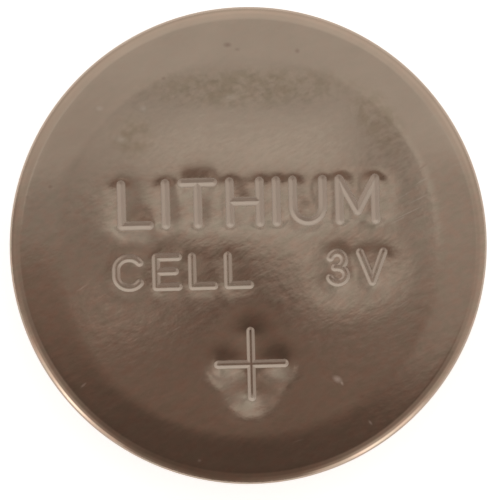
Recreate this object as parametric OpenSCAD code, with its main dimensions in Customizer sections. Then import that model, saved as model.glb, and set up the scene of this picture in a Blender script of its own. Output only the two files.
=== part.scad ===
// Lithium coin cell, 20 mm across and 3.2 mm high.
// A steel can is crimped over a stepped steel cap, with a plastic gasket squeezed between them.
// Inside, from the cap upwards: lithium disc, separator film, absorbent mat, cathode pellet in
// its ring, and the collector net that lies on the can.
// The cell rests on its negative cap at z = 0, and its positive face looks up.

/* [Cell] */
// Outside diameter of the can
cell_d = 20; // [16:0.1:25]
// Height from the cap's face to the can's face
cell_h = 3.2; // [2.4:0.1:5.4]
// Space left between pressed faces, so that the solids stay apart
fit_gap = 0.02; // [0.01:0.01:0.04]

/* [Positive can] */
// Thickness of the can's sheet
can_t = 0.25; // [0.15:0.01:0.35]
// Inside radius of the bend between face and wall
shoulder_r = 0.2; // [0.1:0.05:0.5]
// Width of the band between the flat panel and the shoulder
band_w = 1.65; // [0.5:0.05:3]
// How far the band falls from the panel to the shoulder
band_fall = 0.05; // [0.01:0.01:0.15]
// How far the crimped lip stays back from the cap's face
lip_back = 0.1; // [0.05:0.01:0.2]
// Width of the flat of the lip, past its bend
lip_w = 0.25; // [0.1:0.05:0.5]

/* [Stamped plus] */
// Length of each stroke of the plus
plus_len = 3.05; // [1.5:0.05:4]
// Width of the strokes
plus_w = 0.29; // [0.15:0.01:0.6]
// Distance from the cell's axis to the middle of the plus
plus_out = 4.95; // [3:0.05:5.5]
// Depth of the strokes
plus_deep = 0.05; // [0.02:0.01:0.08]

/* [Negative cap] */
// Thickness of the cap's sheet
cap_t = 0.2; // [0.15:0.01:0.25]
// Inside radius of the cap's bends
cap_bend_r = 0.1; // [0.05:0.01:0.15]

/* [Gasket] */
// Thickness that the gasket is squeezed to between can and cap
gasket_t = 0.25; // [0.15:0.01:0.4]
// Thickness of its floor, under the end of the cap's skirt
floor_t = 0.3; // [0.2:0.05:0.5]
// Thickness of its inner wall
inner_wall_t = 0.3; // [0.15:0.05:0.5]
// Height of its inner wall, from the floor
inner_wall_h = 0.7; // [0.3:0.05:0.9]
// Width of the bead that shows inside the lip
bead_w = 0.35; // [0.2:0.05:0.5]
// How far the bead stays back from the cap's face
bead_back = 0.15; // [0.1:0.01:0.25]
// Width of the open groove between the bead and the cap's step
groove_w = 0.18; // [0.15:0.01:0.4]

/* [Electrodes] */
// Thickness of the lithium disc
anode_t = 0.65; // [0.4:0.05:0.8]
// Space between the lithium disc and the cap's step
anode_gap = 0.4; // [0.1:0.05:0.8]
// Thickness of the sheet of the cathode ring and of the collector net
collector_t = 0.15; // [0.08:0.01:0.25]
// Least space between the cathode ring and the gasket's inner wall
ring_gap = 0.4; // [0.2:0.05:1.2]
// Width of the ring's flange, on which the pellet's edge rests
flange_w = 1.2; // [0.5:0.1:2]
// Height of the pellet's edge that the ring leaves bare
pellet_bare_h = 0.7; // [0.3:0.05:0.8]
// Space between the ring's flange and the net
net_gap = 0.1; // [0.05:0.05:0.5]
// Distance from hole to hole of the net
net_pitch = 1.2; // [0.8:0.1:2]
// Width of the net's strands
net_strand = 0.35; // [0.2:0.05:0.5]
// Width of the net's solid rim
net_rim = 0.3; // [0.2:0.05:0.6]

/* [Separators] */
// Thickness of the separator film
film_t = 0.05; // [0.03:0.01:0.1]
// Thickness of the absorbent mat
mat_t = 0.2; // [0.1:0.05:0.4]
// Space between the separators and the cap's step
separator_gap = 0.1; // [0.05:0.05:0.3]

/* [Hidden] */
$fn = 128;
cell_r = cell_d / 2;

// Can: centre of the shoulder's bend, edge of the flat panel, and height of its inner face
shoulder_out = shoulder_r + can_t;
shoulder_x = cell_r - shoulder_out;
shoulder_z = cell_h - band_fall - shoulder_out;
panel_r = shoulder_x - band_w;
roof_z = cell_h - can_t;

// Crimp: can, gasket and cap turn about one centre, each bend lying inside the next
cap_bend_out = cap_bend_r + cap_t;
crimp_in = cap_bend_out + gasket_t;
crimp_out = crimp_in + can_t;
crimp_x = cell_r - crimp_out;
crimp_z = lip_back + crimp_out;
lip_r = crimp_x - lip_w;

// Cap: ledge under the lip, step down to the contact face, and skirt up into the gasket
ledge_z = lip_back + can_t + gasket_t;
bead_out = lip_r - fit_gap;
bead_in = bead_out - bead_w;
step_out = bead_in - groove_w;
contact_r = step_out - cap_bend_out;
ledge_r = step_out + cap_bend_r;
pocket_r = step_out - cap_t;
skirt_out = cell_r - can_t - gasket_t;
skirt_in = skirt_out - cap_t;

// Gasket: its faces stand one fit gap off the can and the cap
gasket_out = cell_r - can_t - fit_gap;
gasket_top = roof_z - band_fall - fit_gap;
floor_z = gasket_top - floor_t;
inner_wall_r = skirt_in - fit_gap - inner_wall_t;

// Stack of electrodes and separators, from the cap up to the can. The cathode ring lies on the
// flat of the can's panel, clear of the gasket.
film_z = cap_t + anode_t;
mat_z = film_z + film_t;
pellet_z = mat_z + mat_t;
collector_z = roof_z - collector_t;
ring_r = min(panel_r, inner_wall_r - ring_gap);
pellet_r = ring_r - collector_t - fit_gap;
ring_z = pellet_z + pellet_bare_h;
net_r = ring_r - flange_w - net_gap;
net_reach = ceil(net_r / net_pitch);
separator_r = pocket_r - separator_gap;

// Rectangle of a profile, from radius r0 to r1 and from height z0 to z1
module strip(r0, r1, z0, z1) {
    translate([r0, z0]) square([r1 - r0, z1 - z0]);
}

// Quarter of a ring about [x, z], or of a full circle where inner_r is 0, on the side that the
// signs of turn point to
module bend(x, z, inner_r, outer_r, turn) {
    translate([x, z]) intersection() {
        difference() {
            circle(r = outer_r);
            if (inner_r > 0) circle(r = inner_r);
        }
        translate([min(turn[0], 0) * outer_r, min(turn[1], 0) * outer_r]) square(outer_r);
    }
}

// Flat disc of thickness t, with its lower face at height z
module disc(r, z, t) {
    translate([0, 0, z]) cylinder(r = r, h = t);
}

// One stroke of the plus, along X, with round ends
module stroke() {
    straight = plus_len - plus_w;
    square([straight, plus_w], center = true);
    for (side = [-1, 1]) translate([side * straight / 2, 0]) circle(d = plus_w);
}

// Sunk plus that marks the positive face
module plus_groove() {
    translate([0, -plus_out, cell_h - plus_deep]) linear_extrude(2 * plus_deep) {
        stroke();
        rotate(90) stroke();
    }
}

// Pressed can: flat panel, falling band, shoulder, wall, and the lip crimped over the gasket
module can_profile() {
    strip(0, panel_r, roof_z, cell_h);
    polygon([
        [panel_r, roof_z], [shoulder_x, roof_z - band_fall],
        [shoulder_x, cell_h - band_fall], [panel_r, cell_h]
    ]);
    bend(shoulder_x, shoulder_z, shoulder_r, shoulder_out, [1, 1]);
    strip(cell_r - can_t, cell_r, crimp_z, shoulder_z);
    bend(crimp_x, crimp_z, crimp_in, crimp_out, [1, -1]);
    strip(lip_r, crimp_x, lip_back, lip_back + can_t);
}

module positive_can() {
    color([0.60, 0.54, 0.49]) difference() {
        rotate_extrude() can_profile();
        plus_groove();
    }
}

// Pressed cap: contact face, step, ledge under the gasket, and skirt
module cap_profile() {
    strip(0, contact_r, 0, cap_t);
    bend(contact_r, cap_bend_out, cap_bend_r, cap_bend_out, [1, -1]);
    strip(pocket_r, step_out, cap_bend_out, ledge_z - cap_bend_r);
    bend(ledge_r, ledge_z - cap_bend_r, cap_bend_r, cap_bend_out, [-1, 1]);
    strip(ledge_r, crimp_x, ledge_z, ledge_z + cap_t);
    bend(crimp_x, crimp_z, cap_bend_r, cap_bend_out, [1, -1]);
    strip(skirt_in, skirt_out, crimp_z, floor_z - fit_gap);
}

module negative_cap() {
    color([0.72, 0.70, 0.67]) rotate_extrude() cap_profile();
}

// Waste outside a rounded upper corner of radius r, whose faces lie at x_max and z_max
module shoulder_corner(x_max, z_max, r) {
    difference() {
        strip(x_max - r, x_max, z_max - r, z_max);
        bend(x_max - r, z_max - r, 0, r, [1, 1]);
    }
}

// Squeezed gasket: bead, crimped part, outer wall, floor under the skirt, and inner wall. Its
// corner follows the inside of the can's shoulder.
module gasket_profile() {
    wall_in = skirt_out + fit_gap;
    crimp_low = crimp_z - crimp_in + fit_gap;
    crimp_high = ledge_z - fit_gap;
    for (side = [-1, 1]) {
        bend((bead_in + bead_out) / 2, bead_back + bead_w / 2, 0, bead_w / 2, [side, -1]);
    }
    strip(bead_in, bead_out, bead_back + bead_w / 2, crimp_high);
    strip(bead_out, crimp_x, crimp_low, crimp_high);
    bend(crimp_x, crimp_z, cap_bend_out + fit_gap, crimp_in - fit_gap, [1, -1]);
    difference() {
        union() {
            strip(wall_in, gasket_out, crimp_z, gasket_top);
            strip(inner_wall_r, gasket_out, floor_z, gasket_top);
        }
        shoulder_corner(gasket_out, gasket_top, shoulder_r - fit_gap);
    }
    strip(inner_wall_r, skirt_in - fit_gap, floor_z - inner_wall_h, floor_z);
}

module sealing_gasket() {
    color([0.20, 0.20, 0.22]) rotate_extrude() gasket_profile();
}

module lithium_anode() {
    color([0.74, 0.75, 0.77]) disc(pocket_r - anode_gap, cap_t, anode_t);
}

module separator_film() {
    color([0.93, 0.93, 0.91]) disc(separator_r, film_z, film_t);
}

module absorbent_mat() {
    color([0.88, 0.87, 0.83]) disc(separator_r, mat_z, mat_t);
}

module cathode_pellet() {
    color([0.10, 0.10, 0.10]) disc(pellet_r, pellet_z, collector_z - pellet_z);
}

// L-section ring: a wall round the pellet and a flange between its edge and the can
module cathode_ring() {
    color([0.66, 0.66, 0.65]) rotate_extrude() {
        strip(ring_r - collector_t, ring_r, ring_z, roof_z);
        strip(ring_r - flange_w, ring_r, collector_z, roof_z);
    }
}

// Flat net: square holes on a grid, inside a solid rim
module collector_net() {
    hole = net_pitch - net_strand;
    color([0.62, 0.62, 0.62]) translate([0, 0, collector_z]) linear_extrude(collector_t) {
        difference() {
            circle(r = net_r);
            intersection() {
                circle(r = net_r - net_rim);
                for (i = [-net_reach : net_reach], j = [-net_reach : net_reach]) {
                    translate([i, j] * net_pitch) square(hole, center = true);
                }
            }
        }
    }
}

positive_can();
negative_cap();
sealing_gasket();
lithium_anode();
separator_film();
absorbent_mat();
cathode_pellet();
cathode_ring();
collector_net();
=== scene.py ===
import math

import bpy
import numpy as np
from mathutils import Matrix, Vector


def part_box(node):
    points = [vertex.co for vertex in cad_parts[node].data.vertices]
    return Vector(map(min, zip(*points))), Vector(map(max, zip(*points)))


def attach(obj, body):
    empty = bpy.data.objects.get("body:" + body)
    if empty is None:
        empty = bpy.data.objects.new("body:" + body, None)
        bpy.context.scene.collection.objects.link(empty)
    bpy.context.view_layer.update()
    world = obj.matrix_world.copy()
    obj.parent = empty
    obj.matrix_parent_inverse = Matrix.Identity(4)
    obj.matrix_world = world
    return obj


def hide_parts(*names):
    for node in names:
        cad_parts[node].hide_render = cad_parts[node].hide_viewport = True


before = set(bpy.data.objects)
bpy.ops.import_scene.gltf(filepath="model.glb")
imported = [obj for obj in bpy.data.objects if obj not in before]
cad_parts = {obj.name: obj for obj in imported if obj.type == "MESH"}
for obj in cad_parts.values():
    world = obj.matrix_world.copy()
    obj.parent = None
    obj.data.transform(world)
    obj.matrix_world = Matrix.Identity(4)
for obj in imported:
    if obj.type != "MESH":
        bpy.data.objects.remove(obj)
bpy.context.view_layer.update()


# Negative cap: the stepped cup that closes the underside and is the negative terminal. It is
# drawn from nickel-plated steel sheet, and its flat contact face was polished by the draw, so it
# is satin with faint straight marks. The can's crimp holds it through the gasket.

MM = 0.001


def arc(x, z, radius, start, end, steps):
    """Points along a circle's arc in the (r, z) plane. A point's r is x plus the radius times the
    cosine of its angle, and its z is z plus the radius times the sine. Angles are in degrees."""
    angle = np.radians(np.linspace(start, end, steps + 1))
    return np.stack([x + radius * np.cos(angle), z + radius * np.sin(angle)], axis=1)


def outline(*stretches):
    """One line of points through all the stretches, in their order."""
    return np.concatenate([np.atleast_2d(np.array(stretch, float)) for stretch in stretches])


def spun(line, angles):
    """Rings of points: a point (r, z) of the line goes round the axis at every angle, so that
    x is r times the cosine, y is r times the sine, and z stays."""
    r, z = line[:, 0, None], line[:, 1, None]
    return np.stack([r * np.cos(angles), r * np.sin(angles), z + 0 * angles], axis=-1)


def ring_faces(rings):
    """Four-sided faces between neighbouring rings of point numbers. Each ring closes on itself.
    The faces look outwards where the outline runs with the metal on its left."""
    after = np.roll(rings, -1, axis=1)
    return np.stack([rings[:-1], after[:-1], after[1:], rings[1:]], axis=-1).reshape(-1, 4)


def pole_faces(ring, pole):
    """Three-sided faces from one point on the axis to a ring of point numbers, seen from above."""
    return np.stack([np.full_like(ring, pole), ring, np.roll(ring, -1)], axis=-1)


def steel_piece(name, points, faces):
    """A smooth-shaded mesh of points in millimetres, with its place in its mesh."""
    mesh = bpy.data.meshes.new(name)
    mesh.from_pydata((points * MM).tolist(), [], [face for group in faces for face in group.tolist()])
    mesh.shade_smooth()
    piece = bpy.data.objects.new(name, mesh)
    bpy.context.scene.collection.objects.link(piece)
    return piece


def turned_piece(name, line, count=360):
    """A turned piece. Its outline runs with the metal on its left, from the axis along the underside
    and back to the axis above, or round in a loop clear of the axis."""
    angles = np.linspace(0, 2 * np.pi, count, endpoint=False)
    if line[0, 0] > 0:
        points = spun(line, angles).reshape(-1, 3)
        rings = np.arange(len(points)).reshape(len(line), count)
        rings = np.concatenate([rings, rings[:1]])
        return steel_piece(name, points, [ring_faces(rings)])
    rings = spun(line[1:-1], angles)
    points = np.concatenate([rings.reshape(-1, 3), [[0, 0, line[0, 1]], [0, 0, line[-1, 1]]]])
    numbers = np.arange(rings.shape[0] * count).reshape(-1, count)
    underside = pole_faces(numbers[0][::-1], len(points) - 2)
    upside = pole_faces(numbers[-1], len(points) - 1)
    return steel_piece(name, points, [ring_faces(numbers), underside, upside])


def node(tree, kind, inputs=None, **settings):
    """Adds a shader node, gives it its settings, and fills its inputs with values or links."""
    made = tree.nodes.new(kind)
    for name, value in settings.items():
        setattr(made, name, value)
    for name, value in (inputs or {}).items():
        if isinstance(value, bpy.types.NodeSocket):
            tree.links.new(value, made.inputs[name])
        else:
            made.inputs[name].default_value = value
    return made


def ramp(tree, factor, stops, ease="LINEAR"):
    """A row of tones: each stop is a place from 0 to 1 and a colour."""
    made = node(tree, "ShaderNodeValToRGB", {"Fac": factor})
    made.color_ramp.interpolation = ease
    for place, colour in stops[1:-1]:
        made.color_ramp.elements.new(place)
    for element, (place, colour) in zip(made.color_ramp.elements, stops):
        element.position = place
        element.color = (*colour, 1)
    return made.outputs["Color"]


def mixed(tree, share, under, over, blend="MIX"):
    """Two colours mixed: all of the under one where the share is 0, and of the over one where it is 1."""
    colours = {"Fac": share, "Color1": under, "Color2": over}
    return node(tree, "ShaderNodeMixRGB", colours, blend_type=blend).outputs["Color"]


def ranged(tree, value, span, reach=(0.0, 1.0), ease="LINEAR"):
    """Carries a value over from the span to the reach, and holds it at the reach's ends."""
    made = node(tree, "ShaderNodeMapRange", {
        "Value": value,
        "From Min": span[0],
        "From Max": span[1],
        "To Min": reach[0],
        "To Max": reach[1],
    }, interpolation_type=ease)
    return made.outputs["Result"]


def object_place(tree):
    """Places in the part's own frame, in metres."""
    return node(tree, "ShaderNodeTexCoord").outputs["Object"]


def new_finish(name, **values):
    """A material with one Principled shader, whose uniform values are set on its own sockets."""
    material = bpy.data.materials.new(name)
    material.use_nodes = True
    shader = material.node_tree.nodes["Principled BSDF"]
    for socket, value in values.items():
        shader.inputs[socket.replace("_", " ")].default_value = value
    return material, material.node_tree, shader


def grain_noise(tree, angle, along, across, detail=3.0):
    """Noise drawn out along the grain. Its cells are `along` by `across` millimetres, and the grain
    rises by the angle, in degrees, from X."""
    turned = node(tree, "ShaderNodeMapping", {
        "Vector": object_place(tree),
        "Rotation": (0, 0, -math.radians(angle)),
    })
    drawn = node(tree, "ShaderNodeMapping", {
        "Vector": turned.outputs["Vector"],
        "Scale": (1 / (along * MM), 1 / (across * MM), 1 / (across * MM)),
    })
    place = drawn.outputs["Vector"]
    return node(tree, "ShaderNodeTexNoise", {"Vector": place, "Scale": 1.0, "Detail": detail}).outputs["Fac"]


def steel_finish(name, colour, roughness, angle, clean_above=99.0):
    """Nickel-plated sheet: short straight marks along the grain and a fine mottle as bump, cloudy
    tarnish with brown and green in it as colour, and a little change of roughness. Less of the
    mottle shows above the given Y, in mm."""
    material, tree, shader = new_finish(name, Metallic=1.0)
    y = node(tree, "ShaderNodeSeparateXYZ", {0: object_place(tree)}).outputs["Y"]
    share = ranged(tree, y, ((clean_above - 1) * MM, (clean_above + 1) * MM), (1.0, 0.3))
    red, green, blue = colour
    cloud = grain_noise(tree, angle, 2.2, 1.3)
    tone = ramp(tree, cloud, [(0.3, (0.95 * red, 0.95 * green, 0.95 * blue)), (0.65, colour)])
    fleck = ramp(tree, grain_noise(tree, angle, 0.5, 0.4), [
        (0.36, (1.0, 0.945, 0.935)), (0.5, (0.965, 0.965, 0.965)), (0.64, (0.92, 0.96, 0.945))])
    streak = ramp(tree, grain_noise(tree, angle, 0.5, 0.22, detail=2.0), [
        (0.34, (0.95, 0.945, 0.94)), (0.62, (1, 1, 1))])
    speck = ramp(tree, grain_noise(tree, angle, 0.14, 0.08), [
        (0.32, (0.985, 0.985, 0.985)), (0.5, (1, 1, 1))])
    for layer in (fleck, streak, speck):
        tone = mixed(tree, share, tone, layer, "MULTIPLY")
    tree.links.new(tone, shader.inputs["Base Color"])
    uneven = grain_noise(tree, angle, 0.3, 0.12)
    rough = ranged(tree, uneven, (0.3, 0.7), (0.75 * roughness, 1.25 * roughness))
    tree.links.new(rough, shader.inputs["Roughness"])
    waves = node(tree, "ShaderNodeBump", {
        "Height": grain_noise(tree, angle, 0.55, 0.4, detail=2.0),
        "Strength": share,
        "Distance": 0.0018 * MM,
    })
    marks = node(tree, "ShaderNodeBump", {
        "Height": grain_noise(tree, angle, 0.28, 0.12, detail=1.0),
        "Strength": share,
        "Distance": 0.0004 * MM,
        "Normal": waves.outputs["Normal"],
    })
    tree.links.new(marks.outputs["Normal"], shader.inputs["Normal"])
    return material


cap_outline = outline(
    (0, 0),
    (7.6, 0),
    arc(8.10, 0.30, 0.3, -90, 0, 8),
    (8.40, 0.42),
    arc(8.50, 0.50, 0.1, 180, 90, 6),
    arc(9.20, 0.90, 0.3, -90, 0, 8),
    arc(9.47, 2.53, 0.03, 0, 90, 3),
    arc(9.33, 2.53, 0.03, 90, 180, 3),
    arc(9.20, 0.90, 0.1, 0, -90, 6),
    arc(8.50, 0.50, 0.3, 90, 180, 8),
    (8.20, 0.35),
    arc(8.10, 0.30, 0.1, 0, -90, 6),
    (0, 0.20),
)
cap = turned_piece("negative_cap_sheet", cap_outline)
cap.data.materials.append(steel_finish("cap_nickel", (0.55, 0.52, 0.48), 0.28, 8))
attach(cap, "root")
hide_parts("negative_cap")


# Sealing gasket: a moulded ring of dark polypropylene, squeezed between the can and the cap. Its
# bead shows in the gap between the two, on the underside.

def plastic_finish(name, colour, roughness):
    """Moulded plastic: a fine even grain as bump, and a little change of roughness."""
    material, tree, shader = new_finish(name, Base_Color=(*colour, 1), Specular_IOR_Level=0.4)
    grain = grain_noise(tree, 0, 0.05, 0.05)
    rough = ranged(tree, grain_noise(tree, 0, 0.8, 0.8), (0.0, 1.0), (0.9 * roughness, 1.1 * roughness))
    tree.links.new(rough, shader.inputs["Roughness"])
    bump = node(tree, "ShaderNodeBump", {"Height": grain, "Strength": 1.0, "Distance": 0.002 * MM})
    tree.links.new(bump.outputs["Normal"], shader.inputs["Normal"])
    return material


gasket_outline = outline(
    arc(8.755, 0.325, 0.175, 180, 360, 16),
    (8.93, 0.37),
    arc(9.20, 0.90, 0.53, -90, 0, 12),
    arc(9.55, 2.70, 0.18, 0, 90, 8),
    (9.01, 2.88),
    (8.98, 2.85),
    (8.98, 1.88),
    (9.28, 1.88),
    (9.28, 2.58),
    (9.52, 2.58),
    arc(9.20, 0.90, 0.32, 0, -90, 8),
    (8.58, 0.58),
)
gasket = turned_piece("sealing_gasket_ring", gasket_outline)
gasket.data.materials.append(plastic_finish("gasket_polypropylene", (0.03, 0.03, 0.033), 0.45))
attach(gasket, "root")
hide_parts("sealing_gasket")


# Lithium anode: a disc punched from soft lithium strip and pressed on the inside of the cap. It
# is bright when fresh, with a dull grey bloom where it met a little air.

def lithium_finish():
    """Soft bright metal with rolling marks and cloudy grey bloom."""
    material, tree, shader = new_finish("lithium_strip", Metallic=1.0)
    bloom = ramp(tree, grain_noise(tree, 90, 3.0, 1.2), [
        (0.38, (0.34, 0.34, 0.36)), (0.6, (0.6, 0.61, 0.63))])
    tree.links.new(bloom, shader.inputs["Base Color"])
    rough = ranged(tree, grain_noise(tree, 90, 2.0, 0.2), (0.0, 1.0), (0.38, 0.55))
    tree.links.new(rough, shader.inputs["Roughness"])
    return material


def refinish(name, finish):
    """Gives a CAD node a new finish and leaves its mesh as it is."""
    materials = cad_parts[name].data.materials
    materials.clear()
    materials.append(finish)


refinish("lithium_anode", lithium_finish())


# Separator: a thin porous polypropylene film on the lithium, and on it a non-woven mat that holds
# the electrolyte. Both are punched discs that only lie in the stack.

def mat_finish(name, colour, cell, depth):
    """Matted fibres or pores: crossing drawn-out noise as bump, with a little change of tone. The
    cell is how thick a fibre is, and the depth how far it stands out, both in mm."""
    material, tree, shader = new_finish(name, Roughness=0.9)
    one = grain_noise(tree, 35, 8 * cell, cell)
    other = grain_noise(tree, -50, 8 * cell, cell)
    fibres = node(tree, "ShaderNodeMath", {0: one, 1: other}, operation="MAXIMUM").outputs["Value"]
    pale = tuple(min(1.0, 1.06 * part) for part in colour)
    dark = tuple(0.86 * part for part in colour)
    tree.links.new(ramp(tree, fibres, [(0.4, dark), (0.7, pale)]), shader.inputs["Base Color"])
    bump = node(tree, "ShaderNodeBump", {"Height": fibres, "Strength": 1.0, "Distance": depth * MM})
    tree.links.new(bump.outputs["Normal"], shader.inputs["Normal"])
    return material


for name, colour, cell, depth in (
    ("separator_film", (0.85, 0.85, 0.83), 0.01, 0.001),
    ("absorbent_mat", (0.78, 0.77, 0.72), 0.04, 0.01),
):
    refinish(name, mat_finish(name + "_fibres", colour, cell, depth))


# Cathode pellet: manganese dioxide powder with carbon and a binder, pressed into a hard matt
# black disc.

def pellet_finish():
    """Pressed black powder: crumbly bump, with some lighter grains."""
    material, tree, shader = new_finish("pressed_manganese_dioxide", Roughness=0.85)
    grains = grain_noise(tree, 0, 0.09, 0.09)
    tone = ramp(tree, grains, [(0.4, (0.012, 0.012, 0.012)), (0.75, (0.05, 0.047, 0.045))])
    tree.links.new(tone, shader.inputs["Base Color"])
    bump = node(tree, "ShaderNodeBump", {"Height": grains, "Strength": 1.0, "Distance": 0.02 * MM})
    tree.links.new(bump.outputs["Normal"], shader.inputs["Normal"])
    return material


refinish("cathode_pellet", pellet_finish())


# Cathode ring and collector net: an L-section ring and a punched net of plain stainless sheet.
# They carry the current from the pellet to the can, on which both of them lie.

collector_steel = steel_finish("collector_stainless", (0.46, 0.46, 0.45), 0.32, 60)
for name in ("cathode_ring", "collector_net"):
    refinish(name, collector_steel)


# Positive can: a cup drawn from nickel-plated steel sheet, with a flat panel, a band that falls
# to a rounded shoulder, and a wall that is crimped under the gasket. A punch sank the marks into
# the panel with narrow strokes, and drew the sheet round them down in soft hollows.

PANEL_R = 7.9
FACE_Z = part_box("positive_can")[1].z / MM
ROOF_Z = 2.95
STROKE_HALF = 0.155

# The band: the radius where its slope starts, the width over which it grows, and the slope
BAND_START = 7.75
BAND_EASE = 0.7
BAND_SLOPE = 0.0345

# The rounded edge: the radius where its bend starts, the height of the bend's foot, the bend's
# width, and the power that makes it squarish. A power of 1 is a round bend.
BEND_START = 9.45
BEND_FOOT = 2.65
BEND_WIDTH = 0.55
BEND_POWER = 0.8

# Handling marks on the face: place, half length and half width in mm, angle, and strength. Nicks
# and scratches are bright where the plating is bared or scraped, and pits are dark.
NICKS = (
    (3.58, -5.68, 0.27, 0.17, -32, 0.55), (3.76, -5.84, 0.14, 0.08, -60, 0.5),
    (4.91, -7.53, 0.16, 0.07, -55, 0.45), (-7.03, -5.65, 0.19, 0.06, 40, 0.45),
    (-2.27, -8.93, 0.10, 0.08, 0, 0.35), (-6.05, 5.88, 0.20, 0.14, 0, 0.10),
    (-4.23, 5.83, 0.18, 0.18, 0, 0.09), (-5.24, 4.61, 0.40, 0.22, -15, 0.12),
    (-0.60, 6.22, 0.28, 0.20, 0, 0.07), (6.75, 1.20, 0.80, 0.035, 24, 0.14),
    (6.30, 0.90, 0.50, 0.035, 27, 0.12), (7.15, 1.75, 0.60, 0.035, 24, 0.12),
    (6.60, 1.95, 0.40, 0.035, 30, 0.10), (7.30, 2.50, 0.40, 0.035, 29, 0.10),
    (-7.0, -1.6, 0.40, 0.035, 30, 0.15), (-3.1, -3.4, 0.35, 0.035, 27, 0.12),
    (6.4, -2.6, 0.45, 0.035, 33, 0.12), (1.9, -8.2, 0.30, 0.04, 15, 0.15),
)
PITS = (
    (-0.65, 8.40, 0.22, 0.14, 0, 0.42), (-0.24, 8.20, 0.15, 0.10, 0, 0.22),
    (2.26, 8.07, 0.14, 0.14, 0, 0.32), (-3.35, 7.07, 0.12, 0.09, 0, 0.25),
    (-8.20, 2.66, 0.12, 0.10, 0, 0.30), (-9.19, 2.27, 0.10, 0.08, 0, 0.25),
    (7.38, 3.10, 0.28, 0.06, 35, 0.22), (6.95, 0.95, 0.80, 0.05, 24, 0.15),
    (6.5, 1.6, 0.50, 0.05, 29, 0.12), (4.6, -6.4, 0.16, 0.09, 20, 0.15),
    (-5.6, -3.9, 0.18, 0.09, 30, 0.15), (1.2, -2.4, 0.2, 0.09, 30, 0.15),
    (-7.4, 0.4, 0.16, 0.09, 25, 0.15),
)

# Where the sheet was left faintly lumpy, with an olive stain, in the same measures
LUMPS = (
    (0.2, 6.6, 5.4, 1.0, 0, 1.0), (-4.7, 4.7, 1.1, 1.1, 0, 0.9), (5.5, 5.2, 2.2, 1.0, -55, 0.8),
)

# Shares of a mark's size up to which it is solid
NICK_SOLID = 0.2
LUMP_SOLID = 0.45


def wear_mask(tree, marks, solid):
    """Where the marks are: each is an oval, solid to that share of its size and faded to its edge.
    It reaches 1 mm down, so that it lies on the face and doesn't come out on the underside."""
    mask = 0.0
    for x, y, long, wide, angle, strength in marks:
        place = node(tree, "ShaderNodeMapping", {
            "Vector": object_place(tree),
            "Location": (x * MM, y * MM, FACE_Z * MM),
            "Rotation": (0, 0, math.radians(angle)),
            "Scale": (long * MM, wide * MM, MM),
        }, vector_type="TEXTURE").outputs["Vector"]
        far = node(tree, "ShaderNodeVectorMath", {0: place}, operation="LENGTH").outputs["Value"]
        spot = ranged(tree, far, (solid, 1.0), (strength, 0.0))
        mask = node(tree, "ShaderNodeMath", {0: mask, 1: spot}, operation="MAXIMUM").outputs[0]
    return mask


def stamped_finish(name, colour, roughness, angle):
    """The can's nickel: as the sheet's, but matt on the walls of the strokes and painted lighter there,
    as a highlight, and painted darker at their bottoms, as shade."""
    material = steel_finish(name, colour, roughness, angle, clean_above=3.0)
    tree = material.node_tree
    shader = tree.nodes["Principled BSDF"]
    # Masks from the mesh: the walls' one sets their matt look and their lighter colour, a painted highlight,
    # and the bottoms' one their darker colour, a painted shade
    wall = node(tree, "ShaderNodeAttribute", attribute_name="stroke_wall_matt_and_highlight").outputs["Fac"]
    bottom = node(tree, "ShaderNodeAttribute", attribute_name="stroke_bottom_painted_shade").outputs["Fac"]
    sheet_tone = shader.inputs["Base Color"].links[0].from_socket
    sheet_rough = shader.inputs["Roughness"].links[0].from_socket
    sheet_normal = shader.inputs["Normal"].links[0].from_socket
    # Painted shade for the strokes' bottoms, and a lighter colour on their walls as a painted highlight
    painted_bottom_shade_tone = (*(0.75 * part for part in colour), 1)
    painted_wall_highlight = (0.515, 0.465, 0.412, 1)
    tone = mixed(tree, bottom, sheet_tone, painted_bottom_shade_tone)
    tone = mixed(tree, wall, tone, painted_wall_highlight)
    tone = mixed(tree, wear_mask(tree, NICKS, NICK_SOLID), tone, (0.9, 0.88, 0.85, 1))
    tone = mixed(tree, wear_mask(tree, PITS, NICK_SOLID), tone, (0.17, 0.10, 0.08, 1))
    lumpy = wear_mask(tree, LUMPS, LUMP_SOLID)
    mottle = grain_noise(tree, 0, 0.42, 0.42)
    stain = ramp(tree, mottle, [(0.38, (0.84, 0.83, 0.77)), (0.6, (1.0, 0.99, 0.97))])
    tone = mixed(tree, lumpy, tone, stain, "MULTIPLY")
    lumps = node(tree, "ShaderNodeBump", {
        "Height": mottle,
        "Distance": 0.0016 * MM,
        "Strength": lumpy,
        "Normal": sheet_normal,
    })
    tree.links.new(tone, shader.inputs["Base Color"])
    tree.links.new(ranged(tree, wall, (0.0, 1.0), (sheet_rough, 0.45)), shader.inputs["Roughness"])
    tree.links.new(ranged(tree, wall, (0.0, 1.0), (1.0, 0.4)), shader.inputs["Metallic"])
    tree.links.new(lumps.outputs["Normal"], shader.inputs["Normal"])
    return material


def bowl(x, y, width, height, start, end, steps=14):
    """Points of an oval's arc about (x, y): half the width times the cosine of the angle, and half
    the height times the sine. Angles are in degrees."""
    angle = np.radians(np.linspace(start, end, steps + 1))
    return np.stack([x + width / 2 * np.cos(angle), y + height / 2 * np.sin(angle)], axis=1)


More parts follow.
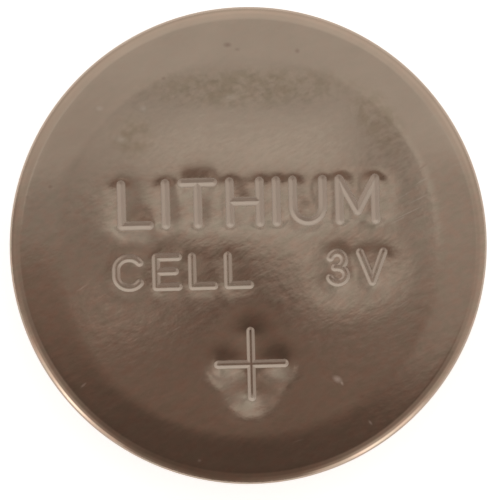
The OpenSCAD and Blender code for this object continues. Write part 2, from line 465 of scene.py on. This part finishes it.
LETTERS = {
    "L": [outline((0, 1), (0, 0), (1, 0))],
    "I": [outline((0, 1), (0, 0))],
    "T": [outline((0, 1), (1, 1)), outline((0.5, 1), (0.5, 0))],
    "H": [outline((0, 1), (0, 0)), outline((1, 1), (1, 0)), outline((0, 0.52), (1, 0.52))],
    "U": [outline((0, 1), bowl(0.5, 0.36, 1, 0.72, 180, 360), (1, 1))],
    "M": [outline((0, 0), (0, 1), (0.5, 0.22), (1, 1), (1, 0))],
    "C": [outline(bowl(0.5, 0.62, 1, 0.76, 35, 180), bowl(0.5, 0.38, 1, 0.76, 180, 325))],
    "E": [outline((1, 1), (0, 1), (0, 0), (1, 0)), outline((0, 0.52), (0.85, 0.52))],
    "3": [
        outline(bowl(0.48, 0.755, 0.84, 0.49, 160, -90), (0.34, 0.51)),
        outline(bowl(0.5, 0.255, 1.0, 0.51, 90, -160)),
    ],
    "V": [outline((0, 1), (0.5, 0), (1, 1))],
    "+": [outline((0, 0.5), (1, 0.5)), outline((0.5, 0), (0.5, 1))],
}


def row_of_marks(marks, left, right, middle, height):
    """Straight pieces (x0, y0, x1, y1) of a row's strokes. marks gives each mark and its width, and
    the gaps between them share what the widths leave between left and right."""
    gap = (right - left - sum(width for _, width in marks)) / max(len(marks) - 1, 1)
    pieces = []
    for mark, width in marks:
        for line in LETTERS[mark]:
            x = left + width * line[:, 0]
            y = middle + height * (line[:, 1] - 0.5)
            pieces.append(np.stack([x[:-1], y[:-1], x[1:], y[1:]], axis=1))
        left += width + gap
    return np.concatenate(pieces)


# Each row of marks, in mm. `marks` gives each mark and its width, `wall` and `deep` the width and
# depth of the walls of its strokes, `matt` how matt they were left and how strongly their lighter
# painted highlight shows, and the key after it how much darker their bottoms are painted, as shade.
# `close` is how far the sheet was drawn down close to the strokes, and `farther` how far in the
# wide hollow round them. The hollow spreads by `upright` or `level` round strokes that run so,
# `weight` is how much level strokes count in it, and `reach` is how far it goes past the ends.
ROWS = (
    {"marks": (("L", 1.15), ("I", 0), ("T", 1.3), ("H", 1.25), ("I", 0), ("U", 1.25), ("M", 1.5)),
     "left": -5.25, "right": 5.36, "middle": 1.81, "height": 1.74,
     "wall": 0.16, "deep": 0.040, "matt": 0.65, "painted_bottom_shade": 0.0, "close": 0.017, "farther": 0.005,
     "hollow": {"upright": 0.60, "level": 0.60, "weight": 1.0, "reach": 0.0}},
    {"marks": (("C", 1.08), ("E", 0.92), ("L", 0.9), ("L", 0.9)),
     "left": -5.54, "right": 0.03, "middle": -1.02, "height": 1.24,
     "wall": 0.10, "deep": 0.045, "matt": 0.6, "painted_bottom_shade": 0.1, "close": 0.007, "farther": 0.003,
     "hollow": {"upright": 0.60, "level": 0.60, "weight": 1.0, "reach": 0.0}},
    {"marks": (("3", 0.7), ("V", 0.98)),
     "left": 3.36, "right": 5.64, "middle": -1.02, "height": 1.25,
     "wall": 0.092, "deep": 0.045, "matt": 0.65, "painted_bottom_shade": 0.3, "close": 0.010, "farther": 0.011,
     "hollow": {"upright": 0.65, "level": 0.65, "weight": 1.0, "reach": 0.0}},
    {"marks": (("+", 2.78),),
     "left": -1.39, "right": 1.39, "middle": -4.95, "height": 2.76,
     "wall": 0.092, "deep": 0.05, "matt": 0.72, "painted_bottom_shade": 0.4, "close": 0.020, "farther": 0.048,
     "hollow": {"upright": 0.58, "level": 0.46, "weight": 0.48, "reach": 0.22}},
)

# The spread of the draw close to a stroke, and how soon summed draws come near their full depth
CLOSE_SPREAD = 0.20
DRAW_FILL = 2.4


def nearest_stroke(points, pieces):
    """Distance from each point to the nearest straight piece: the foot of the point on the piece is
    kept between the piece's ends."""
    nearest = np.full(len(points), np.inf)
    for x0, y0, x1, y1 in pieces:
        run = np.array([x1 - x0, y1 - y0])
        t = np.clip(((points - [x0, y0]) @ run) / (run @ run), 0, 1)
        nearest = np.minimum(nearest, np.hypot(*(points - [x0, y0] - t[:, None] * run).T))
    return nearest


def soft_hollow(points, pieces, bell, upright, level, weight, reach):
    """How far the sheet is drawn down round the strokes, from 0 to 1. Each piece adds the bell of
    the distance across it over the spread, times the difference of two smooth steps that lie the
    reach beyond its ends. One minus e to the minus the sum keeps crossing strokes from adding up.
    The spread is `upright` or `level` by the piece's way, and a level piece has the weight."""
    total = np.zeros(len(points))
    for x0, y0, x1, y1 in pieces:
        length = math.hypot(x1 - x0, y1 - y0)
        run = np.array([x1 - x0, y1 - y0]) / length
        spread = level + (upright - level) * abs(run[1])
        along = (points - [x0, y0]) @ run
        across = (points - [x0, y0]) @ np.array([-run[1], run[0]])
        steps = 1 / (1 + np.exp(-2 * (along + reach) / spread))
        steps -= 1 / (1 + np.exp(-2 * (along - length - reach) / spread))
        total += bell(across / spread) * steps * (weight + (1 - weight) * abs(run[1]))
    return 1 - np.exp(-DRAW_FILL * total)


def close_bell(t):
    """A bell with long skirts: one over the hyperbolic cosine."""
    return 1 / np.cosh(t)


def wide_bell(t):
    """A bell with short skirts: e to the minus half the square."""
    return np.exp(-t * t / 2)


def smooth_step(t):
    """0 below 0, 1 above 1, and 3t^2 - 2t^3 between."""
    t = np.clip(t, 0, 1)
    return t * t * (3 - 2 * t)


def face_fall(r):
    """How far the face lies below the panel at radius r: the slope grows from nothing by a smooth
    step, whose sum is t^3 - t^4/2, and then stays."""
    t = np.clip((r - BAND_START) / BAND_EASE, 0, 1)
    beyond = np.maximum(r - BAND_START - BAND_EASE, 0)
    return BAND_SLOPE * (BAND_EASE * (t ** 3 - t ** 4 / 2) + beyond)


def panel_point(u, v):
    """Square to disc: x is u times the root of 1 - v^2/2, y is v times the root of 1 - u^2/2."""
    return PANEL_R * np.stack([u * np.sqrt(1 - v * v / 2), v * np.sqrt(1 - u * u / 2)], axis=-1)


def two_step_grid(cells, split, fine):
    """Faces on a square lattice of cells * split steps a side, as point numbers. A cell that is
    fine is cut into split by split small ones. A cell beside a fine one becomes a fan about its
    middle, which takes every point on the edges that they share."""
    side = cells * split + 1
    fine_i, fine_j = np.nonzero(fine)
    step = np.arange(split)
    i = (fine_i[:, None, None] * split + step[:, None]).repeat(split, axis=2)
    j = (fine_j[:, None, None] * split + step[None, :]).repeat(split, axis=1)
    corner, opposite = i * side + j, (i + 1) * side + j
    small = np.stack([corner, opposite, opposite + 1, corner + 1], axis=-1)
    ring = np.pad(fine, 1)
    beside = ring[:-2, 1:-1] | ring[2:, 1:-1] | ring[1:-1, :-2] | ring[1:-1, 2:]
    i, j = np.argwhere(~fine & ~beside).T * split
    corner, opposite = i * side + j, (i + split) * side + j
    large = np.stack([corner, opposite, opposite + split, corner + split], axis=-1)
    fans = []
    for (start_i, start_j), (step_i, step_j), (next_i, next_j) in (
        ((0, 0), (1, 0), (0, -1)), ((split, 0), (0, 1), (1, 0)),
        ((split, split), (-1, 0), (0, 1)), ((0, split), (0, -1), (-1, 0)),
    ):
        shared = ring[1 + next_i:cells + 1 + next_i, 1 + next_j:cells + 1 + next_j]
        for chosen, hop in ((~fine & beside & shared, 1), (~fine & beside & ~shared, split)):
            i, j = np.argwhere(chosen).T * split
            middle = (i + split // 2) * side + j + split // 2
            for k in range(0, split, hop):
                first = (i + start_i + k * step_i) * side + j + start_j + k * step_j
                last = first + hop * (step_i * side + step_j)
                fans.append(np.stack([middle, first, last], axis=-1))
    return small.reshape(-1, 4), large, np.concatenate(fans)


# The panel's mesh: cells a side, small cells a side of a cut cell, and how far from a stroke's edge
# the middle of a cell may lie for it to be cut
CELLS = 152
SPLIT = 4
CUT_MARGIN = 0.085

lattice = (np.arange(CELLS) + 0.5) / CELLS * 2 - 1
middle_u, middle_v = np.meshgrid(lattice, lattice, indexing="ij")
cell_middle = panel_point(middle_u, middle_v).reshape(-1, 2)
rows = [row_of_marks(*(row[key] for key in ("marks", "left", "right", "middle", "height"))) for row in ROWS]
strokes = np.concatenate(rows)
near = (nearest_stroke(cell_middle, strokes) < STROKE_HALF + CUT_MARGIN).reshape(CELLS, CELLS)
groups = two_step_grid(CELLS, SPLIT, near)
used, numbers = np.unique(np.concatenate([group.ravel() for group in groups]), return_inverse=True)
ends = np.cumsum([group.size for group in groups])
panel_faces = [part.reshape(group.shape) for part, group in zip(np.split(numbers, ends[:-1]), groups)]
side = CELLS * SPLIT + 1
u, v = (used // side) / (side - 1) * 2 - 1, (used % side) / (side - 1) * 2 - 1
flat = panel_point(u, v)

# `inside` is 0 at a stroke's edge and 1 at the foot of its wall. The matt look and painted highlight
# of a wall come in just outside the edge and fade out past the foot, and the painted shade of the
# bottom starts near it.
sunk, wall, bottom = np.zeros((3, len(flat)))
for pieces, row in zip(rows, ROWS):
    inside = (STROKE_HALF - nearest_stroke(flat, pieces)) / row["wall"]
    sunk += row["deep"] * smooth_step(inside)
    sunk += row["close"] * soft_hollow(flat, pieces, close_bell, CLOSE_SPREAD, CLOSE_SPREAD, 1.0, 0.0)
    sunk += row["farther"] * soft_hollow(flat, pieces, wide_bell, **row["hollow"])
    # The wall's share gives its matt look and painted highlight, and the bottom's share painted shade
    wall += row["matt"] * smooth_step(1 + 3 * inside) * smooth_step(2.6 - 1.7 * inside)
    bottom += row["painted_bottom_shade"] * smooth_step(2 * inside - 1.6)

# Over the last millimetre of the panel, what the punch drew down fades out
radius = np.hypot(*flat.T)
fade = smooth_step(PANEL_R - radius)
panel = np.column_stack([flat, FACE_Z - face_fall(radius) - fade * sunk])

rim = np.nonzero(np.maximum(abs(u), abs(v)) > 1 - 1e-9)[0]
rim = rim[np.argsort(np.arctan2(flat[rim, 1], flat[rim, 0]))]
rim_angles = np.arctan2(flat[rim, 1], flat[rim, 0])


def shoulder(angle):
    """The upper part of the rounded edge. It is a squarish bend, whose r and z are the cosine and
    sine of the angle to a power less than one, and the band's slope runs on into it without a
    crease. Below it the edge ends in a small corner and a straight flank."""
    across, up = np.cos(np.radians(angle)), np.sin(np.radians(angle))
    r = BEND_START + BEND_WIDTH * across ** BEND_POWER
    top = FACE_Z - face_fall(r)
    return np.column_stack([r, BEND_FOOT + (top - BEND_FOOT) * up ** BEND_POWER])


# From under the panel outwards, down inside the wall, round the crimped lip, and up the outside
can_outline = outline(
    (4.0, ROOF_Z),
    (PANEL_R, ROOF_Z),
    arc(9.55, 2.70, 0.20, 90, 0, 5),
    arc(9.20, 0.90, 0.55, 0, -90, 8),
    arc(8.98, 0.32, 0.03, 90, 180, 3),
    arc(8.98, 0.13, 0.03, 180, 270, 3),
    arc(9.20, 0.90, 0.80, -90, 0, 12),
    (10.0, 1.8),
    (10.0, 2.86),
    (9.988, 2.90),
    (9.97, 2.926),
    (9.95, 2.946),
    shoulder(np.linspace(46.6, 90, 11)),
    [(r, FACE_Z - face_fall(r)) for r in (9.2, 8.8, 8.5, 8.25, 8.05)],
)
rings = spun(can_outline, rim_angles)
can_points = np.concatenate([panel, rings.reshape(-1, 3), [[0, 0, ROOF_Z]]])
ring_numbers = len(panel) + np.arange(rings.shape[0] * len(rim)).reshape(-1, len(rim))
can_faces = panel_faces + [
    ring_faces(np.concatenate([ring_numbers, rim[None]])),
    pole_faces(ring_numbers[0][::-1], len(can_points) - 1),
]
can = steel_piece("positive_can_shell", can_points, can_faces)
# Stored on the points: the walls' matt look and painted highlight, and the bottoms' painted shade
for name, values in (("stroke_wall_matt_and_highlight", wall), ("stroke_bottom_painted_shade", bottom)):
    values = np.pad(values, (0, len(can_points) - len(values)))
    can.data.attributes.new(name, "FLOAT", "POINT").data.foreach_set("value", values)
can.data.materials.append(stamped_finish("can_nickel", (0.414, 0.338, 0.276), 0.085, 27))
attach(can, "root")
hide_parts("positive_can")


# Studio: a pale floor in a soft room that is bright on the far side and dark and warm on the near
# side, with two narrow bright places low down in front. The room lights the cell, and the floor
# also glows a little to the camera and in reflections, so that it stays white.

FLOOR_GLOW = 0.68


def studio_floor():
    """A pale matt floor with a white glow that shows to the camera, in gloss and through glass, and
    keeps the cell's shadow."""
    material, tree, shader = new_finish("floor_paper", Base_Color=(0.8, 0.8, 0.8, 1), Roughness=1.0)
    rays = node(tree, "ShaderNodeLightPath").outputs
    seen = node(tree, "ShaderNodeMath", {0: rays["Is Camera Ray"], 1: rays["Is Glossy Ray"]}, operation="ADD")
    seen = node(tree, "ShaderNodeMath", {0: seen.outputs[0], 1: rays["Is Transmission Ray"]}, operation="ADD")
    level = node(tree, "ShaderNodeMath", {0: seen.outputs[0], 1: FLOOR_GLOW}, operation="MULTIPLY")
    glow = node(tree, "ShaderNodeEmission", {"Strength": level.outputs[0]})
    both = node(tree, "ShaderNodeAddShader", {0: shader.outputs[0], 1: glow.outputs[0]})
    tree.links.new(both.outputs[0], tree.nodes["Material Output"].inputs["Surface"])
    return material


bpy.ops.mesh.primitive_plane_add(size=4)
floor = bpy.context.object
floor.name = "floor"
floor.data.materials.append(studio_floor())


def room_tone(level, warmth):
    """A tone of the room: a slightly warm white where warmth is 0, and brown where it is 1."""
    return (0.93 * level, 0.87 * level * (1 - 0.23 * warmth), 0.81 * level * (1 - 0.32 * warmth))


world = bpy.data.worlds.new("soft_room")
bpy.context.scene.world = world
world.use_nodes = True
tree = world.node_tree
way_there = node(tree, "ShaderNodeTexCoord").outputs["Generated"]
way = node(tree, "ShaderNodeSeparateXYZ", {0: way_there}).outputs
turn = node(tree, "ShaderNodeMath", {0: way["Y"], 1: way["X"]}, operation="ARCTAN2")
around = ranged(tree, turn.outputs[0], (-math.pi, math.pi))


def ring_of_room(*stops):
    """Tones round the room. A stop is a compass angle from X towards Y, from -180 to 180 degrees, a
    level and a warmth."""
    tones = [((angle + 180) / 360, room_tone(level, warmth)) for angle, level, warmth in stops]
    return ramp(tree, around, tones, ease="EASE")


def soft_patch(room, x, y, wide, high, edge, tone, strength):
    """Mixes a tone into the room in a soft-edged oblong overhead. x and y are the sideways parts of
    the way to its middle, and wide and high are half its size in the same measure. The edge is a
    share of that half size. How far out a way lies is the larger of its two shares."""
    from_middle = node(tree, "ShaderNodeVectorMath", {0: way_there, 1: (x, y, 0)}, operation="SUBTRACT")
    shares = node(tree, "ShaderNodeVectorMath", {
        0: from_middle.outputs["Vector"],
        1: (1 / wide, 1 / high, 0),
    }, operation="MULTIPLY")
    sizes = node(tree, "ShaderNodeVectorMath", {0: shares.outputs["Vector"]}, operation="ABSOLUTE")
    apart = node(tree, "ShaderNodeSeparateXYZ", {0: sizes.outputs["Vector"]}).outputs
    far = node(tree, "ShaderNodeMath", {0: apart["X"], 1: apart["Y"]}, operation="MAXIMUM").outputs[0]
    share = ranged(tree, far, (1 - edge, 1 + edge), (strength, 0.0), "SMOOTHSTEP")
    return mixed(tree, share, room, (*tone, 1))


room = ring_of_room(
    (-180, 0.52, 0.5), (-170, 0.58, 0.5), (-160, 0.84, 0.4), (-150, 1.8, 0.2), (-140, 3.6, 0),
    (-130, 1.6, 0.2), (-120, 0.55, 0.5), (-110, 0.40, 0.7), (-97, 0.32, 0.9), (-80, 0.5, 0.6),
    (-70, 1.5, 0.2), (-60, 3.0, 0), (-50, 2.1, 0.1), (-40, 1.02, 0.3), (-15, 0.85, 0.3),
    (10, 0.85, 0.2), (40, 1.02, 0.1), (70, 1.05, 0.1), (110, 0.96, 0.1), (145, 0.85, 0.2),
    (160, 0.76, 0.2), (172, 0.56, 0.4), (180, 0.52, 0.5),
)

# Each higher ring of tones takes over from the one below between two values of the way's Z
for start, end, stops in (
    (0.12, 0.45, (
        (-180, 0.59, 0.5), (-165, 0.60, 0.5), (-150, 0.80, 0.4), (-140, 0.74, 0.4), (-120, 0.34, 0.8),
        (-100, 0.26, 1), (-80, 0.38, 0.9), (-70, 0.62, 0.7), (-60, 1.05, 0.3), (-45, 0.85, 0.4),
        (-30, 0.80, 0.4), (0, 0.82, 0.3), (30, 1.11, 0.1), (90, 1.15, 0.1), (130, 1.03, 0.1),
        (160, 0.84, 0.2), (170, 0.67, 0.4), (180, 0.59, 0.5),
    )),
    (0.60, 0.85, (
        (-180, 0.55, 0.5), (-160, 0.43, 0.6), (-145, 0.47, 0.6), (-130, 0.31, 0.8), (-110, 0.22, 1),
        (-80, 0.27, 1), (-60, 0.47, 0.7), (-35, 0.46, 0.6), (-20, 0.67, 0.4), (0, 0.73, 0.3),
        (30, 0.97, 0.1), (60, 1.04, 0), (120, 1.04, 0), (145, 0.92, 0.1), (165, 0.74, 0.2),
        (180, 0.55, 0.5),
    )),
):
    rise = ranged(tree, way["Z"], (start, end), ease="SMOOTHSTEP")
    room = mixed(tree, rise, room, ring_of_room(*stops))

# Overhead the tones change from the near side to the far side, along this compass angle
FAR_SIDE = math.radians(83)
lean = node(tree, "ShaderNodeVectorMath", {
    0: way_there,
    1: (math.cos(FAR_SIDE), math.sin(FAR_SIDE), 0),
}, operation="DOT_PRODUCT").outputs["Value"]
top = ramp(tree, ranged(tree, lean, (-0.2, 0.2)), [
    (0.0, room_tone(0.165, 1)), (0.125, room_tone(0.195, 1)), (0.2, room_tone(0.235, 1)),
    (0.28, room_tone(0.33, 1)), (0.36, room_tone(0.39, 0.9)), (0.43, room_tone(0.42, 0.8)),
    (0.475, room_tone(0.54, 0.6)), (0.52, room_tone(0.72, 0.2)), (0.56, room_tone(0.88, 0)),
    (0.6, room_tone(0.95, -0.1)), (1.0, room_tone(0.95, -0.1)),
], ease="EASE")
for patch in (
    (0.190, -0.010, 0.080, 0.082, 0.4, room_tone(0.64, 0.3), 0.85),
    (-0.135, 0.034, 0.078, 0.030, 0.45, room_tone(0.54, 0.2), 0.9),
    (-0.066, 0.010, 0.022, 0.016, 0.7, room_tone(0.45, 0.4), 0.8),
    (0.062, 0.019, 0.015, 0.048, 0.6, room_tone(0.45, 0.3), 0.95),
    (-0.012, 0.0665, 0.052, 0.0065, 0.3, room_tone(0.45, 0), 1.0),
    (0.0, 0.135, 0.150, 0.060, 0.06, room_tone(0.83, -0.05), 1.0),
    (-0.130, 0.090, 0.050, 0.030, 0.7, room_tone(0.72, 0.1), 0.9),
    (0.035, -0.005, 0.020, 0.014, 0.7, room_tone(0.98, 0.1), 0.9),
    (-0.038, -0.009, 0.024, 0.009, 0.8, room_tone(0.36, 0.8), 0.55),
    (-0.012, -0.023, 0.036, 0.015, 0.8, room_tone(0.24, 1), 0.85),
    (-0.055, -0.023, 0.015, 0.009, 0.8, room_tone(0.86, 0.3), 0.8),
):
    top = soft_patch(top, *patch)
overhead = ranged(tree, way["Z"], (0.945, 0.984), ease="SMOOTHSTEP")
tree.links.new(mixed(tree, overhead, room, top), tree.nodes["Background"].inputs["Color"])


# Camera: straight above the cell, turned a little so that the marks rise to the right. Its lens
# takes in the frame's width at the height of the face.

AIM = (0.00007, -0.00019)
HEIGHT = 0.1
FRAME_WIDTH = 0.02088
TURN = -1.5

camera_data = bpy.data.cameras.new("camera")
camera_data.sensor_width = 36
camera_data.lens = camera_data.sensor_width * (HEIGHT - FACE_Z * MM) / FRAME_WIDTH
camera_data.clip_start = 0.001
camera = bpy.data.objects.new("camera", camera_data)
camera.location = (*AIM, HEIGHT)
camera.rotation_euler = (0, 0, math.radians(TURN))
bpy.context.scene.collection.objects.link(camera)
bpy.context.scene.camera = camera
bpy.context.scene.view_settings.view_transform = "Standard"
